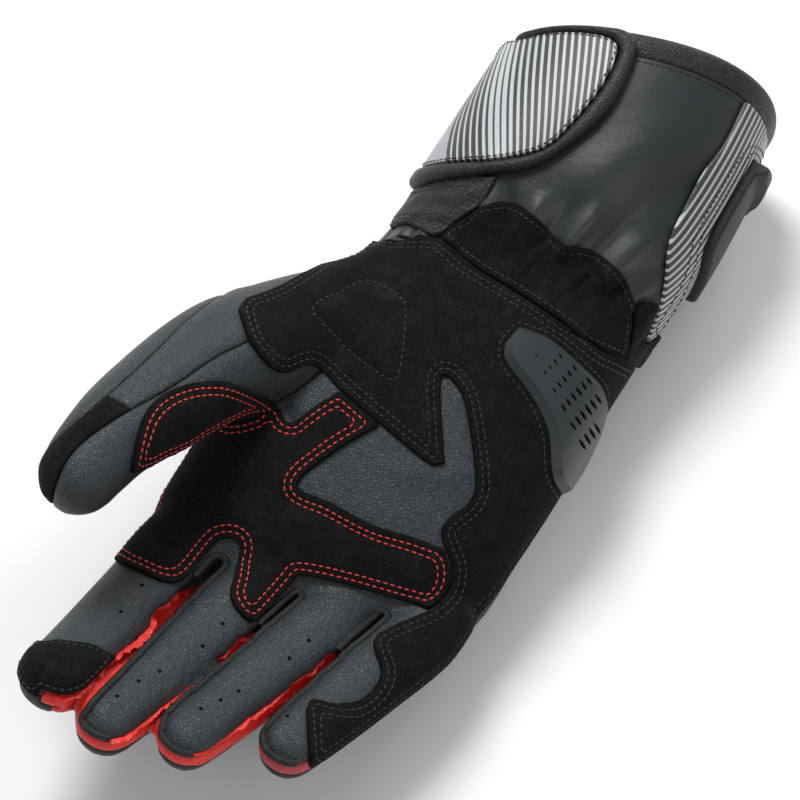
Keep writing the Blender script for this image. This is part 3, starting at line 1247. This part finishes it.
# %% Cuff leather and its rolled rim
calm.numbers.update(skin.numbers)
cuff = skin.inside(np.maximum(gap / 2 - skin.numbers["wrist"], skin.numbers["rim"] + 1.3))
panel("cuff_leather", cuff, "cuff_leather", "cuff_leather", sink=0.5, radius=1.0, swell=0.0)
rim_turn = 1 / math.hypot(1, rim_slant)
binding_width, binding_radius = 8, 2.2
roll = calm.inside(np.maximum(calm.numbers["rim"], -binding_width / rim_turn - calm.numbers["rim"]))
for level in (-0.12, -0.35, -0.75, -1.3, -2.1):
    roll, _ = roll.cut(roll.numbers["rim"] - level, 0.03)
roll = edge_rings(roll.measure_edge(), 0.4, 1.0)
past = -roll.numbers["rim"] * rim_turn
turn = binding_radius * (1 - rounded(past, binding_radius))
hem = smooth_step(0, 1.6, binding_width - past)
proud = gap + binding_thick + 0.35 * dent(past, 2.6, 2.2) - 0.55 * dent(past, 6.4, 0.5)
sheets["cuff_binding"] = roll
add_piece("cuff_binding", shell("cuff_binding", roll, proud * (0.35 + 0.65 * hem) - turn, -2.9 + 0.75 * turn,
                                ("edge", "rim")), "cuff_binding", slot="binding_leather")


# %% [markdown]
# ## The strap, the closing flap and the side panel
# The strap is a narrow black leather band at the wrist. The flap closes the cuff: coated cloth printed with
# stripes, in a rounded leather binding. The side panel is of the same cloth. They are flat layers, so each is
# cut from the calm skin and lifted by what lies under it. The stripes are numbers stored on the pieces,
# because printed lines follow the cloth and would slide in a pattern fixed in space.

# %% Strap, flap and side panel
def layer(name, fields, node, slot, base, thick, sheet=calm, radius=1.0, rows=(), puff=None, rings=(0.3, 0.8),
          keep=("edge",)):
    """A flat layer that lies over others, a base height above the skin."""
    sheet = edge_rings(sheet.inside(np.maximum.reduce(fields)).measure_edge(), *rings)
    edge = sheet.numbers["edge"]
    outer = base + thick * (0.2 + 0.8 * rounded(edge, radius))
    if puff is not None:
        outer = outer + puff(sheet)
    for row in rows:
        outer = outer - 0.3 * dent(edge, row, 0.45)
    sheets[name] = sheet
    return add_piece(name, shell(name, sheet, outer, base, keep), node, slot=slot)


def strap_wrinkles(sheet):
    along = sheet.places[:, 0] * 0.94 + sheet.places[:, 1] * 0.33
    across = sheet.places[:, 1] * 0.94 - sheet.places[:, 0] * 0.33
    return 0.35 * np.sin(across * 1.1 + 0.9 * np.sin(along * 0.35)) * (0.6 + 0.4 * np.sin(along * 0.7))


# The stripes run across the flap at an angle, so their place is a mix of the way round the cuff and along it.
ring_angle = np.linspace(0, 2 * math.pi, 721)
ring_x = np.sign(np.cos(ring_angle)) * np.abs(np.cos(ring_angle)) ** (2 / 2.2) * cuff_width * 0.515
ring_z = np.sign(np.sin(ring_angle)) * np.abs(np.sin(ring_angle)) ** (2 / 2.2) * cuff_height * 0.51
ring_run = np.append(0, np.cumsum(np.hypot(np.diff(ring_x), np.diff(ring_z))))
ring_middle = np.array([cuff_centre + 0.02 * cuff_width, 0.465 * cuff_height])
seen_angle = (np.arctan2(z - ring_middle[1], x - ring_middle[0]) + math.pi / 2) % (2 * math.pi) - math.pi / 2
turned = np.interp(seen_angle % (2 * math.pi), ring_angle, ring_run)
top_run = np.interp(math.pi / 2, ring_angle, ring_run)
around = np.where(seen_angle < 0, top_run + ring_run[-1] - turned, top_run - turned)
stripe_numbers = ("edge", "stripe", "white", "plain")
stripe_place = 0.866 * around + 0.37 * y
stripe_pitch = 2.1
calm.numbers["stripe"] = stripe_place / stripe_pitch
calm.numbers["white"] = np.interp(stripe_place, [-9, 2, 5, 9.5, 12, 16, 45],
                                  [0.30, 0.33, 0.68, 0.72, 0.46, 0.42, 0.40])
calm.numbers["plain"] = smooth_step(0.2, -0.2, stripe_place + 9.2) * smooth_step(98.5, 96.5, y)
for field in ("flap", "flap_field", "strap", "side", "guard"):
    for sheet in (skin, calm):
        sheet.numbers[field] = plan_field[field]
below_rim = skin.numbers["rim"] + 1 / rim_turn
flap_base = gap + strap_thick + gap
layer("wrist_strap", [plan_field["strap"], gap - plan_field["heel"], gap - plan_field["wrist_panel"], 16 - z],
      "wrist_strap", "black_leather", gap, strap_thick, rows=(2.2, 3.8), puff=strap_wrinkles)
layer("closure_flap", [plan_field["flap_field"] + gap, below_rim, 16 - z], "closure_flap", "striped_fabric",
      flap_base, flap_thick, radius=0.5, keep=stripe_numbers)
layer("flap_binding", [plan_field["flap"], -plan_field["flap_field"], below_rim, 16 - z], "flap_binding",
      "binding_leather", flap_base, flap_thick + 0.5, radius=1.9, rings=(0.25, 0.6, 1.2),
      puff=lambda sheet: 0.5 * smooth_step(0, 2.5, sheet.numbers["edge"]), keep=("edge", "flap_field"))
# On the side panel they run along the upper part of its palm edge, and bend towards it near the wrist.
side_pitch, side_bend, side_bend_from = 2.4, 0.009, 96
side_sheet = calm.inside(np.maximum.reduce([plan_field["side"] + gap, past_rim - 8, 20 - z]))
side_ends = side_sheet.places[side_sheet.border()].mean(1)
side_line = line_distance(on_plan(side_ends), on_cuff(smooth_line(side_panel_edge, closed=False)), closed=False)[0]
upper_ends = (side_line < 1.2) & (side_ends[:, 2] > 40) & (side_ends[:, 1] > 95)
upper_around = np.array([around[np.argmin(((calm.places - place) ** 2).sum(1))] for place in side_ends[upper_ends]])
upper_line = np.polyfit(side_ends[upper_ends, 1], upper_around, 1)
side_run = around - np.polyval(upper_line, y) + side_bend * np.maximum(0, side_bend_from - y) ** 2
calm.numbers["stripe"] = side_run / side_pitch
calm.numbers["white"] = np.interp(side_run, [0, 12, 18, 30], [0.36, 0.38, 0.44, 0.5])
calm.numbers["plain"] = smooth_step(19.0, 19.4, side_run) * smooth_step(-32, -30, past_rim)
layer("cuff_side_panel", [plan_field["side"] + gap, skin.numbers["rim"] + 8.3 / rim_turn, 30 - z],
      "cuff_side_panel", "striped_fabric", gap, suede_thick, radius=0.6, keep=stripe_numbers)

# %% [markdown]
# ## The cuff guard
# The guard is a hard moulded plate with a raised block at its wide end. It is one more layer whose height
# steps up where the block starts.

# %% The guard
raised_from = wrist_place + 0.6 * cuff_length


def guard_block(sheet):
    past_start = sheet.places[:, 1] - raised_from - rim_slant * (sheet.places[:, 0] - cuff_centre)
    return guard_raise * smooth_step(0, 2.2, past_start) * rounded(sheet.numbers["edge"], 1.5)


layer("cuff_guard", [plan_field["guard"], skin.numbers["rim"] + 8.3 / rim_turn, 8 - z], "cuff_guard",
      "black_plastic", gap, guard_thick, radius=1.3, puff=guard_block, rings=(0.25, 0.6, 1.1))

# %% [markdown]
# ## The palm slider
# The slider is moulded in hard plastic and slides on the road in a fall. It has a broad bevel and rows of
# slots. The slots are cut like any other edge: the field of the plate is combined with the field of each slot.

# %% Slider
slot_length, slot_width, slot_turn, slot_margin, bevel_width = 3.8, 1.05, -0.53, 2.3, 2.3
slot_row_step, slot_column_step = np.array([5, -3.7]), np.array([-0.4, -2.45])
slot_start = np.array([palm_centre + 0.32 * palm_width, wrist_place - 0.16 * palm_length])
slot_table = np.array([[*(slot_start + row * slot_row_step + column * slot_column_step),
                        np.clip(0.55 + 0.15 * row - 0.05 * abs(column), 0.35, 1)]
                       for row in range(-2, 9) for column in range(-4, 4)])
slot_table = slot_table[outline_field(slot_table[:, :2], lines["slider"]) < -slot_margin]
slot_table = slot_table[(slot_table[:, :2] - slot_start) @ np.array([0.83, -0.55]) > -4]
slot_along = np.array([math.cos(slot_turn), math.sin(slot_turn)])
slot_across = np.array([-slot_along[1], slot_along[0]])


def slot_field(points):
    best = np.full(len(points), 1e3)
    for slot_x, slot_y, share in slot_table:
        place = np.array([slot_x, slot_y])
        along, across = np.abs((points - place) @ slot_along), np.abs((points - place) @ slot_across)
        long, wide = share * slot_length / 2, share * slot_width / 2
        best = np.minimum(best, np.maximum(along - long, across - wide * (1.1 - (along / long) ** 2 * 0.8)))
    return best


slider = calm.inside(np.maximum(plan_field["slider"] - 1.5, parting_height - z)).finer()
rim_field = outline_field(on_plan(slider.places), lines["slider"])
slider = slider.inside(rim_field)
slider = slider.finer()
slider.measure_edge()
slider.numbers["bevel"] = slider.numbers["edge"]
slider = slider.inside(-slot_field(on_plan(slider.places)))
slider = edge_rings(slider, 0.3)
slider, _ = slider.cut(slider.numbers["bevel"] - bevel_width, 0.04)
bevel = slider.numbers["bevel"]
slider_base = gap + suede_thick + gap
slider_top = slider_base + slider_thick * (0.12 + 0.88 * np.clip(bevel / bevel_width, 0, 1))
add_piece("palm_slider", shell("palm_slider", slider, slider_top, slider_base, ("edge",), 24), "palm_slider",
          slot="grey_plastic")

# %% [markdown]
# ## Sewing it together
# Every row of stitches follows a level line of a number that the pieces already carry, such as the distance
# from a patch's edge. The rows lie in the grooves that were pressed in before.

# %% Stitch rows
black, red = finishes["black_thread"], finishes["red_thread"]
in_sight = lambda chain: chain[:, 2] > 14


def sew(name, rows, material, slot, pitch=2.3, thread_width=0.5, length=0.72):
    if rows:
        run_tree(name, "stitches", rows, material, slot, pitch=pitch * MM, thread=thread_width * MM, length=length)


def rows_of(name, levels, number="edge", **options):
    return [row for level in levels for row in row_of(name, number, level, **options)]


edge_rows = rows_of("heel_patch", (2.2, 4.2), where=in_sight)
pad_rows = rows_of("heel_patch", (0.0,), "pad")
slider_rows = rows_of("heel_patch", (1.7,), "slider", where=in_sight)
sew("heel_stitches", edge_rows + pad_rows + slider_rows, black, "black_leather")
sew("wrist_panel_stitches", rows_of("wrist_panel", (2.0,)), black, "black_leather")
sew("index_tip_stitches", rows_of("index_tip_patch", (1.6,)), black, "black_leather")
sew("strap_stitches", rows_of("wrist_strap", (2.2, 3.8)), black, "black_leather")
sew("flap_stitches", rows_of("closure_flap", (0.9,), where=in_sight), black, "black_leather", 2.1)
sew("grip_stitches", rows_of("grip_patch", (2.2, 4.2)), red, "red_leather", thread_width=0.55)
sew("side_stitches", rows_of("cuff_side_panel", (2.4, 4.6), "guard"), black, "black_leather", 2.0)
sew("rim_stitches", rows_of("cuff_leather", (-8.0 / rim_turn - 1.6,), "rim"), black, "black_leather", 2.0)

# %% [markdown]
# ## Piping, raw edges and holes
# A black cord is sewn into the seam on the thumb's side of each finger. On the other side the red gusset's
# raw edge stands out of the seam, uneven where it was trimmed by hand. The palm is punched with small holes
# for air.

# %% Piping along the fingers
def of_finger(finger, places):
    """True where this finger is the nearest."""
    sides = np.array([np.abs(finger_side(f, places)) for f in fingers])
    return sides.argmin(0) == fingers.index(finger)


web_piping = {"index": 8, "middle": 11, "ring": 8, "pinky": 12}


def piped(chain):
    shown = np.zeros(len(chain), bool)
    for finger in fingers:
        tip = finger_place(finger, 1.0)[1]
        start = wrist_place - finger[7] * palm_length
        side = finger_side(finger, chain)
        near_web = chain[:, 1] > start - web_piping[finger[0]]
        wanted = (side < 3) | (chain[:, 1] < tip + 5) | near_web
        shown |= of_finger(finger, chain) & (near_web if finger[0] == "index" else wanted)
    return shown & (chain[:, 2] > 20)


run_tree("finger_piping", "piping", row_of("palm_leather", "piped", 0.0, 0.35, piped), finishes["cord"],
         "binding_leather", width=2.7 * MM)
index_piping_from, index_piping_to = -25, -88


def left_side(chain):
    along = (chain[:, 1] < index_piping_from) & (chain[:, 1] > index_piping_to)
    return (finger_side(fingers[0], chain) < 0) & along


run_tree("index_piping", "piping", row_of("palm_leather", "parting", -0.6, 0.1, left_side),
         finishes["binding_leather"], "binding_leather", width=1.6 * MM)


# %% Raw red edges
def raw_edge(name, chains, width, material, slot, seed):
    """A thin uneven lip that stands out of a seam."""
    noise = np.random.default_rng(seed)
    places, faces, start = [], [], 0
    for chain, lay in chains:
        count = len(chain)
        if count < 8:
            continue
        ragged = np.convolve(noise.uniform(0.3, 1.7, count), np.ones(5) / 5, "same")
        knots = np.arange(0, count + 13, 13)
        slow = np.interp(np.arange(count), knots, noise.uniform(0.3, 1.7, len(knots)))
        fade = smooth_step(0, 6, np.arange(count)) * smooth_step(0, 6, count - 1.0 - np.arange(count))
        along = np.gradient(chain, axis=0)
        along /= np.linalg.norm(along, axis=1)[:, None]
        across = np.cross(along, lay)
        rise = (width * ragged * slow * (0.25 + 0.75 * fade) + 0.3)[:, None]
        lean_out = across * np.convolve(noise.uniform(-0.7, 1.1, count), np.ones(4) / 4, "same")[:, None]
        rows = [chain - across * 0.35 - lay * 0.5, chain + (lay + lean_out) * rise * 0.6 - across * 0.3,
                chain + (lay + lean_out) * rise, chain + (lay + lean_out) * rise * 0.6 + across * 0.3,
                chain + across * 0.35 - lay * 0.5]
        places.append(np.stack(rows, 1).reshape(-1, 3))
        for i in range(count - 1):
            for k in range(5):
                a, b = start + i * 5 + k, start + i * 5 + (k + 1) % 5
                faces += [(a, b, b + 5), (a, b + 5, a + 5)]
        faces += [(start, start + k + 1, start + k) for k in range(1, 4)]
        last = start + (count - 1) * 5
        faces += [(last, last + k, last + k + 1) for k in range(1, 4)]
        start += count * 5
    places = np.vstack(places)
    edge = np.tile([0.3, 1.5, 3.0, 1.5, 0.3], len(places) // 5)
    obj = mesh_object(name, places, np.array(faces), {"edge": edge, "inside": edge * 0}, 60)
    return add_piece(name, obj, slot=slot)


def raw(chain):
    shown = np.zeros(len(chain), bool)
    for finger in fingers[:3]:
        tip = finger_place(finger, 1.0)[1]
        start = wrist_place - finger[7] * palm_length
        shown |= of_finger(finger, chain) & (finger_side(finger, chain) > 2) & (chain[:, 1] > tip + 4) & (
            chain[:, 1] < start - web_piping[finger[0]] + 2)
    return shown & (chain[:, 2] > 22)


raw_edge("red_raw_edges", row_of("palm_leather", "gusset", 0.35, -0.4, raw), 1.5, finishes["red_leather"],
         "red_leather", 4)

# %% [markdown]
# ## Air holes
# The holes are punched through the palm. Each is a small dark disc that lies just above the leather.

# %% Holes
hole_shares = [
    (-0.413, 1.153), (-0.415, 1.231), (-0.333, 1.269), (-0.126, 1.142), (-0.141, 1.211), (-0.210, 1.312),
    (-0.246, 1.356), (-0.281, 1.405), (0.127, 1.079), (0.111, 1.140), (0.028, 1.264), (-0.003, 1.300),
    (-0.044, 1.338), (0.198, 1.260),
]
palm_sheet = sheets["palm_leather"]
palm_plan = on_plan(palm_sheet.places)
nearest = [int(np.argmin(((palm_plan - place) ** 2).sum(1) + 50 * (palm_sheet.places[:, 2] < 30)))
           for place in on_hand(np.array(hole_shares))]
hole_lift = palm_sheet.numbers["outer"][nearest] + 0.06
hole_places = palm_sheet.places[nearest] + palm_sheet.normals[nearest] * hole_lift[:, None]
run_tree("air_holes", "holes", [(hole_places, palm_sheet.normals[nearest])], finishes["hole"], "black_leather",
         width=1.3 * MM)

# %% [markdown]
# ## The studio
# The floor and the surroundings are nearly white. One broad soft light from the upper left gives the leather
# its long highlights, and a weaker one from the right opens the shadows.

# %% Floor, lights and camera
floor_mesh = bpy.data.meshes.new("floor")
floor_mesh.from_pydata([(-4, -4, 0), (4, -4, 0), (4, 4, 0), (-4, 4, 0)], [], [(0, 1, 2, 3)])
floor = bpy.data.objects.new("floor", floor_mesh)
bpy.context.collection.objects.link(floor)
pale = Finish("pale floor", 0.9)
floor_mesh.materials.append(pale.wear(Base_Color=pale.mix(pale.noise(40.0), (0.90, 0.90, 0.90), (0.93, 0.93, 0.93))))


def look_from(obj, place, target):
    obj.location = Vector(place)
    obj.rotation_euler = (Vector(place) - Vector(target)).to_track_quat("Z", "Y").to_euler()
    bpy.context.collection.objects.link(obj)


view_target = Vector(to_metres(np.array([0.0, 0.0, 55.0])))
view_back = Vector(seen_from / np.linalg.norm(seen_from))
camera_data = bpy.data.cameras.new("camera")
camera_data.sensor_width, camera_data.lens, camera_data.clip_end = 36.0, 187.2, 20.0
camera = bpy.data.objects.new("camera", camera_data)
look_from(camera, view_target + view_back * 1.3, view_target)
bpy.context.scene.camera = camera
for name, place, size, power in (("key", (-0.55, 0.45, 1.1), 0.5, 15), ("fill", (0.9, -0.5, 0.9), 0.8, 3.5),
                                 ("rim", (0.1, 1.1, 0.5), 0.5, 4)):
    light = bpy.data.lights.new(name, "AREA")
    light.energy, light.size = power, size
    look_from(bpy.data.objects.new(name, light), place, view_target)
world = bpy.data.worlds.new("studio")
world.use_nodes = True
world.node_tree.nodes["Background"].inputs["Color"].default_value = (1, 1, 1, 1)
world.node_tree.nodes["Background"].inputs["Strength"].default_value = 0.32
bpy.context.scene.world = world
bpy.context.scene.view_settings.view_transform = "Standard"

# %% Sizes for the record
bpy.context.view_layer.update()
print("pieces:", len(pieces))
